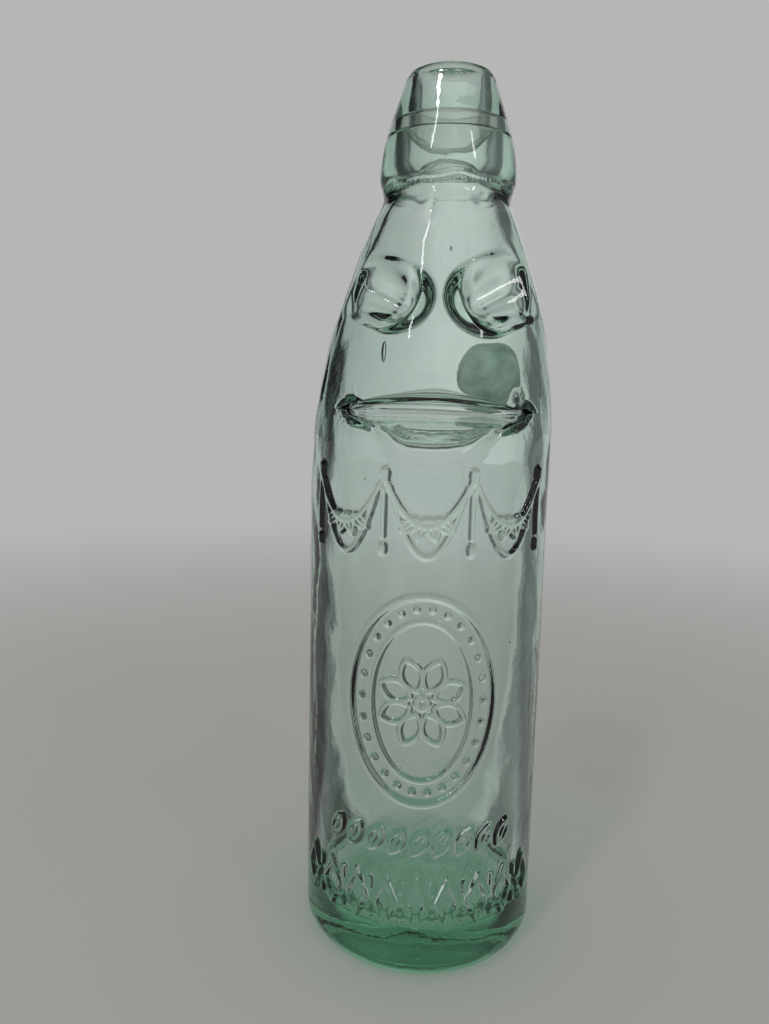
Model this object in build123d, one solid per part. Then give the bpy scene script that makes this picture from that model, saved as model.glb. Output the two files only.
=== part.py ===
from build123d import *
import math
import os

# Marble stopper bottle. The origin is the middle of the foot, +Z is up and the two ears face -Y.
# All sizes are millimetres.

# The blown body
body_radius = 31.0
heel_radius = 5.5
shoulder_start = 100.0
wall = 4.2
floor_height = 9.5
floor_corner = 9.0
foot_dish_radius = 22.0
foot_dish_depth = 1.4

# The neck stands a little to one side of the body, as hand work leaves it.
neck_lean = 2.4
neck_end = 190.0

# Height, outer radius, wall and lean of the shoulder and the neck, from the body up
shoulder_stations = [
    (shoulder_start, body_radius, wall, 0.0),
    (114.0, body_radius, wall, 0.0),
    (126.0, 30.85, wall, 0.15),
    (134.0, 30.55, 4.3, 0.4),
    (142.0, 30.0, 4.5, 0.6),
    (150.0, 28.75, 4.5, 0.9),
    (158.0, 27.2, 4.4, 1.3),
    (166.0, 24.95, 4.3, 1.7),
    (174.0, 22.2, 4.3, 1.8),
    (182.0, 19.4, 4.0, 1.9),
    (neck_end, 15.8, 3.4, neck_lean),
]

# The end of the neck, which the lip is laid round
spigot_radius = 14.0
spigot_end = 196.0
spigot_bore = 11.2

# The ledge: the wall pinched in from the front and the back by a wedge with a round nose. The hot wall
# stretches as it goes in, so it is thin there.
ledge_height = 139.4
ledge_nose = 0.8
ledge_wall = 1.6
ledge_gap_half = 4.4
ledge_across = 1.0
ledge_shift = 1.5
ledge_half_length = 16.0
ledge_mouth_half_length = 20.5
ledge_corner = 3.0
ledge_mouth = 36.0
ledge_top_rise = 0.4
ledge_bottom_fall = 4.4
ledge_rim = 2.0

# The ears: two dimples pushed into the front of the neck with a blunt round finger. Each is deep and
# round towards the front and runs out up and sideways.
ear_height = 165.3
ear_angle = 27.0
ear_radius = 9.6
ear_length = 24.0
ear_rise = 26.0
ear_tilt = 6.0
ear_wall = 3.0
ear_axis_out = 2.2
ear_rim = 1.8
ear_rim_reach = 19.0

# The applied lip: its widest ring, where the belly turns into the taper, and the round rim
lip_top = 219.8
lip_widest = 17.0
lip_widest_height = 195.4
lip_belly_radius = 16.3
lip_belly_height = 202.6
lip_rim_radius = 11.0
lip_rim_height = 218.3
lip_crown_radius = 9.3
mouth_bore = 7.5
seat_bore = 10.4

# The rubber ring and its groove
ring_low = 204.7
ring_high = 208.3
ring_outer = 11.4
ring_inner = 7.6

# The marble
marble_radius = 8.5
marble_rest_x = 15.2
marble_gap = 0.12


def section(height, radius, lean):
    return Pos(lean, 0, height) * Circle(radius)


def outer_form():
    """The outside of the bottle without its pinches, from the foot to the end of the neck."""
    foot = Polyline(
        (0, foot_dish_depth),
        (foot_dish_radius, 0),
        (body_radius - heel_radius, 0),
    )
    heel = CenterArc((body_radius - heel_radius, heel_radius), heel_radius, -90, 90)
    side = Polyline(
        (body_radius, heel_radius),
        (body_radius, shoulder_start),
        (0, shoulder_start),
        (0, foot_dish_depth),
    )
    body = revolve(Plane.XZ * make_face(foot + heel + side), Axis.Z)
    shoulder = loft([section(z, radius, lean) for z, radius, _, lean in shoulder_stations])
    spigot_length = spigot_end - neck_end
    spigot = Pos(neck_lean, 0, neck_end + spigot_length / 2) * Cylinder(spigot_radius, spigot_length)
    return body + shoulder + spigot


def cavity_form():
    """The space inside, without the pinches, from the thick floor to the end of the neck."""
    inner_radius = body_radius - wall
    corner_x = inner_radius - floor_corner
    floor = Line((0, floor_height), (corner_x, floor_height))
    corner = CenterArc((corner_x, floor_height + floor_corner), floor_corner, -90, 90)
    side = Polyline(
        (inner_radius, floor_height + floor_corner),
        (inner_radius, shoulder_start),
        (0, shoulder_start),
        (0, floor_height),
    )
    body = revolve(Plane.XZ * make_face(floor + corner + side), Axis.Z)
    shoulder = loft([section(z, radius - thick, lean) for z, radius, thick, lean in shoulder_stations])
    _, neck_radius, neck_wall, _ = shoulder_stations[-1]
    bottom = section(neck_end, neck_radius - neck_wall, neck_lean)
    spigot = loft([bottom, section(spigot_end, spigot_bore, neck_lean)])
    return body + shoulder + spigot


def ledge_wedge(swell):
    """The wedge that pinches the front in, swelled on every side. Its nose is round and its ends flare."""
    nose_y = -(ledge_gap_half + ledge_wall + ledge_nose)
    core = Polyline(
        (nose_y, ledge_height),
        (-ledge_mouth, ledge_height + ledge_top_rise),
        (-ledge_mouth, ledge_height - ledge_bottom_fall),
        close=True,
    )
    side_view = offset(make_face(core), swell)
    corner_y = nose_y - ledge_corner
    plan = Polyline(
        (-ledge_half_length + ledge_corner, corner_y),
        (ledge_half_length - ledge_corner, corner_y),
        (ledge_mouth_half_length - ledge_corner, -ledge_mouth),
        (-ledge_mouth_half_length + ledge_corner, -ledge_mouth),
        close=True,
    )
    top_view = offset(make_face(plan), ledge_corner + swell)
    blade = extrude(Plane.YZ * side_view, 2 * body_radius, both=True)
    return blade & extrude(Pos(0, 0, ledge_height) * top_view, body_radius, both=True)


def ear_finger(side, swell):
    """The finger that pushes one ear in, from its round end outwards. side is -1 left and 1 right."""
    radius = ear_radius + swell
    stick = Polyline((radius, 0), (radius, ear_length), (0, ear_length), (0, -radius))
    end = CenterArc((0, 0), radius, -90, 90)
    finger = revolve(Plane.XZ * make_face(stick + end), Axis.Z)
    return ear_plane(side) * finger


def ear_plane(side):
    """Where the finger lies: its Z runs along the finger, sideways, up and a little out of the glass."""
    turn = math.radians(ear_angle) * side
    rise = math.radians(ear_rise)
    tilt = math.radians(ear_tilt)
    below = max(station for station in shoulder_stations if station[0] <= ear_height)
    above = min(station for station in shoulder_stations if station[0] > ear_height)
    slope = math.atan2(below[1] - above[1], above[0] - below[0])
    front = Vector(math.sin(turn), -math.cos(turn), 0)
    around = Vector(math.cos(turn), math.sin(turn), 0) * side
    uphill = front * -math.sin(slope) + Vector(0, 0, math.cos(slope))
    outward = front * math.cos(slope) + Vector(0, 0, math.sin(slope))
    along = (around * math.cos(rise) + uphill * math.sin(rise)) * math.cos(tilt) + outward * math.sin(tilt)
    share = (ear_height - below[0]) / (above[0] - below[0])
    radius = below[1] + share * (above[1] - below[1])
    lean = below[3] + share * (above[3] - below[3])
    middle = Vector(lean, 0, ear_height) + front * radius + outward * ear_axis_out
    return Plane(origin=middle, z_dir=along)


def pinched_ledge(form, swell):
    """Cuts both wedges out of a form, leaving the slot between them a little behind the middle."""
    front = ledge_wedge(swell)
    place = Pos(ledge_across, ledge_shift, 0)
    return form - place * front - place * mirror(front, Plane.XZ)


def rim_edges(form, middle, reach):
    """The edges of the form's shoulder within reach of a point, where a tool has gone in."""
    shoulder = form.faces().filter_by(GeomType.BSPLINE).sort_by(SortBy.AREA)[-1]
    return [e for e in shoulder.edges() if (e.center() - middle).length < reach]


def glass_body():
    outer = pinched_ledge(outer_form(), ledge_nose)
    cavity = pinched_ledge(cavity_form(), ledge_nose + ledge_wall)
    for depth in (-body_radius, body_radius):
        mouth = Vector(0, depth, ledge_height)
        outer = fillet(rim_edges(outer, mouth, ledge_mouth_half_length), ledge_rim)
    for side in (-1, 1):
        outer = outer - ear_finger(side, 0)
        middle = ear_plane(side).origin
        outer = fillet(rim_edges(outer, middle, ear_rim_reach), ear_rim)
        cavity = cavity - ear_finger(side, ear_wall)
    return outer - cavity


def roll_arc(start):
    """An arc that rolls out from a point of the neck and stands upright at the lip's widest ring."""
    across, up = lip_widest - start[0], lip_widest_height - start[1]
    radius = (across**2 + up**2) / (2 * across)
    sweep = math.degrees(math.asin(up / radius))
    return CenterArc((lip_widest - radius, lip_widest_height), radius, -sweep, sweep)


def applied_lip():
    """The collar. Its foot laps the spigot, and the rubber ring's groove is cut into its bore."""
    neck_radius = shoulder_stations[-1][1]
    outside = Polyline(
        (lip_widest, lip_widest_height),
        (lip_belly_radius, lip_belly_height),
        (lip_rim_radius, lip_rim_height),
    )
    rim = ThreePointArc(
        (lip_rim_radius, lip_rim_height),
        (lip_crown_radius, lip_top),
        (mouth_bore, lip_rim_height),
    )
    inside = Polyline(
        (mouth_bore, lip_rim_height),
        (mouth_bore, ring_high),
        (ring_outer, ring_high),
        (ring_outer, ring_low),
        (seat_bore, ring_low),
        (spigot_bore, spigot_end),
        (spigot_radius, spigot_end),
        (spigot_radius, neck_end),
        (neck_radius, neck_end),
    )
    profile = make_face(roll_arc((neck_radius, neck_end)) + outside + rim + inside)
    return Pos(neck_lean, 0, 0) * revolve(Plane.XZ * profile, Axis.Z)


def sealing_ring():
    """A rubber band of square section that fills its groove and stands out a little into the bore."""
    height = ring_high - ring_low
    middle = Pos(neck_lean, 0, ring_low + height / 2)
    return middle * (Cylinder(ring_outer, height) - Cylinder(ring_inner, height))


def marble_rest_height():
    """Where the marble stops, wedged between the two round noses of the ledge."""
    nose = ledge_nose + ledge_wall
    across = ledge_gap_half + nose
    reach = marble_radius + nose + marble_gap
    return ledge_height + math.sqrt(reach**2 - across**2)


def glass_marble():
    return Pos(marble_rest_x, ledge_shift, marble_rest_height()) * Sphere(marble_radius)


def seat_height():
    """The marble's middle when it is pressed up against the ring's lower edge."""
    reach = marble_radius + marble_gap
    return ring_low - math.sqrt(reach**2 - ring_inner**2)


os.makedirs("parts", exist_ok=True)
pieces = {
    "glass_body": glass_body(),
    "applied_lip": applied_lip(),
    "sealing_ring": sealing_ring(),
    "glass_marble": glass_marble(),
}
for name, piece in pieces.items():
    piece.label = name
    export_step(piece, f"parts/{name}.step")
    print(name, "volume", round(piece.volume), "mm3")

rest = Vector(marble_rest_x, ledge_shift, marble_rest_height())
seat = Vector(neck_lean, 0, seat_height())
travel = seat - rest
print("marble rest", tuple(rest), "travel", travel.length, "along", tuple(travel.normalized()))
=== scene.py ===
import math

import bmesh
import bpy
import numpy as np
from mathutils import Matrix, Vector


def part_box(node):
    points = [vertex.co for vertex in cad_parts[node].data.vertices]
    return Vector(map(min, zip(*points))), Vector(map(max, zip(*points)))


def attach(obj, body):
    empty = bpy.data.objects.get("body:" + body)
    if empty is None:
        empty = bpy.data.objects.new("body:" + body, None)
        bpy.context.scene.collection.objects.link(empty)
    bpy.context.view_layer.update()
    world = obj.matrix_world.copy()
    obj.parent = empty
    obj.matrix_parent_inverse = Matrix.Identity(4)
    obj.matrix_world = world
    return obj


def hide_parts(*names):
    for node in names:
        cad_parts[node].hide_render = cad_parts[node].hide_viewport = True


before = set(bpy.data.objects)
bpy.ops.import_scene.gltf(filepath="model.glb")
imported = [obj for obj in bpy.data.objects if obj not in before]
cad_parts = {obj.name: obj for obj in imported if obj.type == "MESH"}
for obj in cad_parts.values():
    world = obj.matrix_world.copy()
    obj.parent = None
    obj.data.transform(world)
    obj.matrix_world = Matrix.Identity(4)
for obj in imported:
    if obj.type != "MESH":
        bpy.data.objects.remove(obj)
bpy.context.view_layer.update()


# The photographer's place. The picture is taken from close by with the lens at the height of the ledge,
# so the lip is seen from below and the foot from above. The bottle stands right of the middle.
MM = 0.001
FILM_WIDTH = 36.0
PICTURE_LONG_SIDE = 1024
FOCAL_LENGTH_PX = 780.0
NEAREST_SEEN = 0.01
LENS_PLACE = Vector((0.0, -203.98, 142.42)) * MM
LOOK_DOWN = math.radians(8.397)
LOOK_LEFT = math.radians(3.225)
TILT = math.radians(1.2965)


def lens_axes():
    """The camera's own right, up and backward directions."""
    forward = Vector((
        -math.sin(LOOK_LEFT) * math.cos(LOOK_DOWN),
        math.cos(LOOK_LEFT) * math.cos(LOOK_DOWN),
        -math.sin(LOOK_DOWN),
    ))
    level = Vector((math.cos(LOOK_LEFT), math.sin(LOOK_LEFT), 0.0))
    upright = level.cross(forward)
    right = level * math.cos(TILT) + upright * math.sin(TILT)
    return right, right.cross(forward), -forward


camera_data = bpy.data.cameras.new("photographer")
camera_data.sensor_width = FILM_WIDTH
camera_data.lens = FOCAL_LENGTH_PX / PICTURE_LONG_SIDE * FILM_WIDTH
camera_data.clip_start = NEAREST_SEEN
camera = bpy.data.objects.new("photographer", camera_data)
turn = Matrix(lens_axes()).transposed().to_4x4()
camera.matrix_world = Matrix.Translation(LENS_PLACE) @ turn
bpy.context.scene.collection.objects.link(camera)
bpy.context.scene.camera = camera


# The studio. A plain pale table runs out to a pale grey backdrop. Through the glass the backdrop is bright
# in the middle and falls off to dark on both sides, which draws dark lines along the inner walls. Seen
# through the glass, the table beside the bottle glows with this as painted room light and shade.
TABLE_RADIUS = 5.0
TABLE_COLOUR = (0.64, 0.625, 0.60)
TABLE_FADE = (0.12, 0.75)
BACKDROP_COLOUR = (0.47, 0.47, 0.465)
ROOM_GLOW_COLOUR = (1.0, 1.0, 0.99)
ROOM_LIGHT = 0.42

# How bright the room looks through the glass. Spans are bearings in degrees from straight ahead.
BACKDROP_BRIGHT = 0.52
BACKDROP_SLOPE = (0.0, 34.0)
BACKDROP_SLOPE_END = 0.75
BACKDROP_EDGE = (27.0, 39.0)
LEFT_DARK_SIDE = 0.02
RIGHT_DARK_SIDE = 0.12
DARK_SIDE_BLEND = 0.1
SIDE_BRIGHT = 0.22
SIDE_RISE = (54.0, 80.0)
BEHIND_LENS_BRIGHT = 0.32
BEHIND_LENS_RISE = (110.0, 150.0)
PAINTED_GLOW_EDGE = (24.0, 34.0)
FOOT_CLEARANCE = (0.033, 0.05)

# The same by steepness, as the upright part of a direction
CLOTH_TOP = (0.44, 0.66)
ABOVE_CLOTH = 0.3
CEILING_RISE = (0.62, 0.95)
CEILING_BRIGHT = 0.30


def node(tree, kind, **settings):
    """A new shader node with some of its settings."""
    made = tree.nodes.new(kind)
    for name, value in settings.items():
        setattr(made, name, value)
    return made


def math_node(tree, operation, *inputs):
    """A Math node whose inputs are numbers or other nodes' outputs."""
    made = node(tree, "ShaderNodeMath", operation=operation)
    for socket, value in zip(made.inputs, inputs):
        if isinstance(value, (int, float)):
            socket.default_value = value
        else:
            tree.links.new(value, socket)
    return made.outputs[0]


def ramp_node(tree, value, low, high, to_low=0.0, to_high=1.0):
    """A smooth step of a value from one range to another."""
    made = node(tree, "ShaderNodeMapRange", interpolation_type="SMOOTHSTEP")
    tree.links.new(value, made.inputs["Value"])
    made.inputs["From Min"].default_value = low
    made.inputs["From Max"].default_value = high
    made.inputs["To Min"].default_value = to_low
    made.inputs["To Max"].default_value = to_high
    return made.outputs["Result"]


def bearing_ramp(tree, bearing, span, to_low, to_high):
    """A smooth step over a span of bearings in degrees."""
    return ramp_node(tree, bearing, math.radians(span[0]), math.radians(span[1]), to_low, to_high)


def colour_node(tree, kind, colour):
    """A shader of one colour."""
    made = node(tree, kind)
    made.inputs["Color"].default_value = (*colour, 1.0)
    return made


def mix_node(tree, share, first, second):
    """Two shaders mixed, with the given share of the second."""
    made = node(tree, "ShaderNodeMixShader")
    tree.links.new(share, made.inputs["Fac"])
    tree.links.new(first.outputs[0], made.inputs[1])
    tree.links.new(second.outputs[0], made.inputs[2])
    return made


def output_node(tree, surface, kind="ShaderNodeOutputMaterial"):
    made = node(tree, kind)
    tree.links.new(surface.outputs[0], made.inputs["Surface"])
    return made


def new_finish(name):
    """An empty material and its node tree."""
    finish = bpy.data.materials.new(name)
    finish.use_nodes = True
    finish.node_tree.nodes.clear()
    return finish, finish.node_tree


def place_parts(tree, output):
    """A coordinate's vector, and the same taken apart into X, Y and Z."""
    place = node(tree, "ShaderNodeTexCoord").outputs[output]
    parts = node(tree, "ShaderNodeSeparateXYZ")
    tree.links.new(place, parts.inputs[0])
    return place, parts.outputs


def seen_in_glass(tree, path):
    """1 for a ray in a reflection or through glass."""
    return math_node(tree, "MAXIMUM", path.outputs["Is Glossy Ray"], path.outputs["Is Transmission Ray"])


def room_brightness(tree, across, away):
    """How bright the room is that way: backdrop, dark sides beside it, and the room behind the lens."""
    heading = math_node(tree, "ARCTAN2", across, away)
    bearing = math_node(tree, "ABSOLUTE", heading)
    middle = bearing_ramp(tree, bearing, BACKDROP_SLOPE, 1.0, BACKDROP_SLOPE_END)
    edge = bearing_ramp(tree, bearing, BACKDROP_EDGE, BACKDROP_BRIGHT, 0.0)
    side_glow = ramp_node(tree, heading, -DARK_SIDE_BLEND, DARK_SIDE_BLEND, LEFT_DARK_SIDE, RIGHT_DARK_SIDE)
    side = bearing_ramp(tree, bearing, SIDE_RISE, 0.0, SIDE_BRIGHT)
    behind_lens = bearing_ramp(tree, bearing, BEHIND_LENS_RISE, 0.0, BEHIND_LENS_BRIGHT)
    ahead = math_node(tree, "MULTIPLY_ADD", middle, edge, side_glow)
    return math_node(tree, "ADD", ahead, math_node(tree, "ADD", side, behind_lens))


def table_finish():
    """Pale paint that fades to the backdrop far away. Through the glass, the table beside the bottle glows
    with painted room light and shade.
    """
    finish, tree = new_finish("pale_table")
    place, parts = place_parts(tree, "Object")
    length = node(tree, "ShaderNodeVectorMath", operation="LENGTH")
    tree.links.new(place, length.inputs[0])
    path = node(tree, "ShaderNodeLightPath")

    paint = colour_node(tree, "ShaderNodeBsdfDiffuse", TABLE_COLOUR)
    distance = colour_node(tree, "ShaderNodeEmission", BACKDROP_COLOUR)
    far = ramp_node(tree, length.outputs["Value"], *TABLE_FADE)
    seen = math_node(tree, "MAXIMUM", seen_in_glass(tree, path), path.outputs["Is Camera Ray"])
    open_table = mix_node(tree, math_node(tree, "MULTIPLY", far, seen), paint, distance)

    # Painted room light and shade: only through the glass, the table beside the bottle glows bright towards
    # the backdrop and dark to the sides.
    side_glow = colour_node(tree, "ShaderNodeEmission", ROOM_GLOW_COLOUR)
    tree.links.new(room_brightness(tree, parts["X"], parts["Y"]), side_glow.inputs["Strength"])
    bearing = math_node(tree, "ABSOLUTE", math_node(tree, "ARCTAN2", parts["X"], parts["Y"]))
    beside = bearing_ramp(tree, bearing, PAINTED_GLOW_EDGE, 0.0, 1.0)
    clear_of_foot = ramp_node(tree, length.outputs["Value"], *FOOT_CLEARANCE)
    painted_side_share = math_node(tree, "MULTIPLY", beside, clear_of_foot)
    through_glass = math_node(tree, "MULTIPLY", painted_side_share, path.outputs["Is Transmission Ray"])
    output_node(tree, mix_node(tree, through_glass, open_table, side_glow))
    return finish


def table_top():
    shape = bmesh.new()
    bmesh.ops.create_circle(shape, cap_ends=True, segments=96, radius=TABLE_RADIUS)
    mesh = bpy.data.meshes.new("table_top")
    shape.to_mesh(mesh)
    shape.free()
    mesh.materials.append(table_finish())
    top = bpy.data.objects.new("table_top", mesh)
    bpy.context.scene.collection.objects.link(top)


def room():
    """The world: a backdrop for the camera, backdrop and dark cloth for the glass, even light otherwise."""
    world = bpy.data.worlds.new("studio")
    bpy.context.scene.world = world
    world.use_nodes = True
    tree = world.node_tree
    tree.nodes.clear()
    _, parts = place_parts(tree, "Generated")
    high_up = ramp_node(tree, parts["Z"], *CLOTH_TOP, 1.0, ABOVE_CLOTH)
    around = math_node(tree, "MULTIPLY", room_brightness(tree, parts["X"], parts["Y"]), high_up)
    overhead = ramp_node(tree, parts["Z"], *CEILING_RISE, 0.0, CEILING_BRIGHT)
    path = node(tree, "ShaderNodeLightPath")

    light = colour_node(tree, "ShaderNodeBackground", (1.0, 1.0, 1.0))
    light.inputs["Strength"].default_value = ROOM_LIGHT
    bent = colour_node(tree, "ShaderNodeBackground", ROOM_GLOW_COLOUR)
    tree.links.new(math_node(tree, "ADD", around, overhead), bent.inputs["Strength"])
    backdrop = colour_node(tree, "ShaderNodeBackground", BACKDROP_COLOUR)
    through = mix_node(tree, seen_in_glass(tree, path), light, bent)
    whole = mix_node(tree, path.outputs["Is Camera Ray"], through, backdrop)
    output_node(tree, whole, "ShaderNodeOutputWorld")


# The lamps: two tall soft boxes and a small one overhead, which draw the streaks on the glass
LAMP_DISTANCE = 1.0
LAMP_AIM = Vector((0.0, 0.0, 130.0)) * MM


def strip_lamp(name, bearing, height_angle, width, length, power, colour):
    """A soft box that faces the bottle. bearing is its angle to the right of the front, both in degrees."""
    data = bpy.data.lights.new(name, "AREA")
    data.shape = "RECTANGLE"
    data.size = width
    data.size_y = length
    data.energy = power
    data.color = colour
    lamp = bpy.data.objects.new(name, data)
    side, up = math.radians(bearing), math.radians(height_angle)
    away = Vector((math.sin(side) * math.cos(up), -math.cos(side) * math.cos(up), math.sin(up)))
    lamp.location = LAMP_AIM + away * LAMP_DISTANCE
    lamp.rotation_mode = "QUATERNION"
    lamp.rotation_quaternion = away.to_track_quat("Z", "Y")
    lamp.visible_transmission = False
    bpy.context.scene.collection.objects.link(lamp)


# How many skins of glass a ray may cross
GLASS_BOUNCES = 24

bpy.context.scene.view_settings.view_transform = "Standard"
bpy.context.scene.cycles.caustics_reflective = False
bpy.context.scene.cycles.caustics_refractive = False
bpy.context.scene.cycles.max_bounces = GLASS_BOUNCES
bpy.context.scene.cycles.transmission_bounces = GLASS_BOUNCES
bpy.context.scene.cycles.transparent_max_bounces = GLASS_BOUNCES
table_top()
room()
strip_lamp(
    "left_strip", bearing=-30.0, height_angle=44.0, width=0.035, length=0.5, power=0.62,
    colour=(0.97, 0.985, 1.0),
)
strip_lamp(
    "right_strip", bearing=44.0, height_angle=33.0, width=0.06, length=0.3, power=0.5,
    colour=(1.0, 0.99, 0.97),
)
strip_lamp(
    "top_spot", bearing=-32.0, height_angle=58.0, width=0.05, length=0.05, power=0.6,
    colour=(1.0, 1.0, 1.0),
)


# The bottle. It is pale aqua glass blown in a mould, with walls of 4 mm and a heavy foot. While it was hot
# the wall was pinched in from front and back into a ledge, two ears were pushed into the neck,
# and a second gather was laid round the mouth and tooled into the lip.
BODY_RADIUS = 31.0
WALL = 4.2
SHOULDER_START = 100.0
HEEL_RADIUS = 5.5
HEEL_ROWS_END = 12.0
DISH_DEPTH = 1.4
DISH_RADIUS = 22.0
DISH_EDGE_WIDTH = 1.0
DISH_EDGE_HEIGHT = 0.08
FLOOR_HEIGHT = 9.5
FLOOR_CORNER = 9.0

# The skin is a grid: columns round the bottle, closer together in front, and rows a little apart in mm
COLUMNS = 432
FRONT_DENSITY = 0.45
INNERMOST_RADIUS = 0.6
ROW_SPACING = {
    "body": 0.33,
    "outer fold": 0.42,
    "shoulder": 0.36,
    "lip seam": 0.25,
    "lip": 0.45,
    "rim": 0.3,
    "inner lip": 0.5,
    "inner neck": 0.45,
    "inner fold": 0.5,
    "inner body": 1.0,
}

# Height, radius of the outside, radius of the inside and lean, from the body up to the mouth
NECK_STATIONS = [
    (SHOULDER_START, 31.0, 26.8, 0.0),
    (112.0, 31.0, 26.8, 0.0),
    (120.0, 30.95, 26.75, 0.05),
    (128.0, 30.85, 26.6, 0.25),
    (138.5, 30.3, 25.9, 0.5),
    (149.0, 28.95, 24.4, 0.85),
    (158.0, 27.2, 22.75, 1.3),
    (166.0, 24.95, 20.6, 1.65),
    (174.0, 22.2, 17.9, 1.8),
    (180.0, 20.1, 16.1, 1.85),
    (184.0, 18.5, 14.7, 1.95),
    (188.0, 16.65, 13.15, 2.15),
    (190.4, 15.85, 12.3, 2.3),
    (191.4, 15.8, 12.1, 2.35),
    (192.6, 16.25, 11.75, 2.4),
    (195.4, 17.0, 11.2, 2.4),
    (198.0, 16.9, 10.9, 2.4),
    (202.6, 16.25, 10.5, 2.4),
    (207.4, 14.95, 10.35, 2.4),
    (212.1, 13.35, 10.3, 2.4),
    (216.4, 11.95, 10.3, 2.4),
]
NECK_END = 190.0
LIP_SEAM_ROWS = (184.0, 198.0)
LIP_TOP = 219.75
BORE_TOP = 216.8
MOUTH_BORE = 7.5
MOUTH_EDGE = 0.4
SEAT_BORE = 10.4
GROOVE_LOW = 204.7
GROOVE_HIGH = 208.3
GROOVE_RADIUS = 11.4
GROOVE_EDGE = 0.3

# The ledge: distance from its middle plane and height, along each skin of the pinched wall
LEDGE_SHIFT = 1.5
OUTER_FOLD = [
    (33.5, 121.5),
    (33.35, 126.0),
    (32.5, 129.8),
    (30.7, 132.8),
    (27.6, 135.1),
    (23.0, 136.6),
    (17.0, 137.75),
    (11.0, 138.45),
    (7.5, 138.75),
    (6.6, 139.4),
    (7.4, 140.1),
    (9.5, 140.4),
    (16.0, 140.65),
    (24.0, 140.8),
    (29.6, 140.95),
    (31.4, 141.4),
    (32.6, 142.3),
    (33.3, 144.0),
    (33.5, 146.5),
]
INNER_FOLD = [
    (29.0, 150.0),
    (28.4, 146.0),
    (26.8, 143.0),
    (24.4, 142.0),
    (17.0, 141.85),
    (10.0, 141.8),
    (7.4, 141.7),
    (5.7, 140.9),
    (5.0, 139.4),
    (5.6, 137.9),
    (7.4, 137.0),
    (10.0, 136.4),
    (17.0, 135.2),
    (23.5, 133.6),
    (26.4, 131.6),
    (28.8, 128.0),
    (29.0, 124.0),
]
OUTER_NOSE, NOSE_HEIGHT = min(OUTER_FOLD)
INNER_NOSE = min(INNER_FOLD)[0]
UNPINCHED = 1000.0

# The ledge along its length. It sags from its high point to both ends, where the wall comes out again.
LEDGE_MIDDLE = 1.0
LEDGE_HIGH_POINT = -5.8
LEDGE_END_OUTSIDE = 15.5
LEDGE_END_INSIDE = 17.4
LEDGE_GRIP_FADE = (2.0, 9.0)
LEDGE_SPILL = 2.2
LEDGE_SPILL_ROUND = 1.2
LEDGE_SAG = 0.0014
LEDGE_SAG_LENGTH = 24.0
LEDGE_SAG_HEIGHT = 139.0
LEDGE_SAG_REACH = 10.0
LEDGE_CLOSING = 0.5
LEDGE_CLOSING_SPAN = (6.0, 24.0)
LEDGE_EDGE = 1.6
LOWER_EDGE = 6.0
LOWER_EDGE_START = (124.0, 131.0)
LOWER_EDGE_END = (136.5, 139.0)


def straight(start, end, count):
    """Profile points on a line, without the last one."""
    along = np.linspace(0.0, 1.0, count, endpoint=False)[:, None]
    return np.array(start) * (1.0 - along) + np.array(end) * along


def arc(middle, radius, start, end, count):
    """Profile points on an arc between two angles in degrees, without the last one."""
    angles = np.radians(np.linspace(start, end, count, endpoint=False))
    return np.column_stack((middle[0] + radius * np.cos(angles), middle[1] + radius * np.sin(angles)))


def flowing(points, spacing):
    """Points a little apart on the smooth curve that runs through the given ones."""
    points = np.array(points)
    gaps = np.linalg.norm(np.diff(points[:, :2], axis=0), axis=1)
    knots = np.concatenate(([0.0], np.cumsum(gaps)))
    slopes = np.gradient(points, knots, axis=0)
    along = np.linspace(0.0, knots[-1], int(knots[-1] / spacing) + 1)
    part = np.clip(np.searchsorted(knots, along, side="right") - 1, 0, len(gaps) - 1)
    gap = gaps[part][:, None]
    t = (along[:, None] - knots[part][:, None]) / gap
    return (
        points[part] * (2 * t**3 - 3 * t**2 + 1)
        + slopes[part] * gap * (t**3 - 2 * t**2 + t)
        + points[part + 1] * (3 * t**2 - 2 * t**3)
        + slopes[part + 1] * gap * (t**3 - t**2)
    )


neck_curve = flowing(NECK_STATIONS, 0.2)
neck_curve = neck_curve[np.argsort(neck_curve[:, 0])]


def outside_radius(height):
    return np.interp(height, neck_curve[:, 0], neck_curve[:, 1])


def inside_radius(height):
    return np.interp(height, neck_curve[:, 0], neck_curve[:, 2])


def lean(height):
    return np.interp(height, neck_curve[:, 0], neck_curve[:, 3])


def smooth_step(value, low, high):
    t = np.clip((value - low) / (high - low), 0.0, 1.0)
    return t * t * (3.0 - 2.0 * t)


def hill(across, up=0.0):
    """A round hill over distances in its own widths: 1 at the middle and nearly flat two widths away."""
    return np.exp(-(across**2) - up**2)


def soft_min(a, b, width):
    """The lower of two surfaces, with the edge between them rounded over the given width or widths."""
    h = np.clip(0.5 + 0.5 * (b - a) / width, 0.0, 1.0)
    return b * (1.0 - h) + a * h - width * h * (1.0 - h)


def waves(angle, height, size, seed, count=9):
    """Slow random hills round the bottle, about one high, each some millimetres across."""
    chance = np.random.default_rng(seed)
    total = np.zeros(np.broadcast(angle, height).shape)
    for _ in range(count):
        heading = chance.uniform(0.0, 2.0 * math.pi)
        pitch = 2.0 * math.pi / (size * chance.uniform(0.7, 1.5))
        round_about = np.round(BODY_RADIUS * pitch * math.cos(heading))
        shift = chance.uniform(0.0, 2.0 * math.pi)
        total += np.cos(round_about * angle + pitch * math.sin(heading) * height + shift)
    return total / math.sqrt(count)


def wall_rows(bottom, top, radius, spacing):
    """Rows up or down a skin above the straight body: its radius and height."""
    count = max(int(abs(top - bottom) / spacing), 2)
    heights = np.linspace(bottom, top, count, endpoint=False)
    return np.column_stack((radius(heights), heights))


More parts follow.
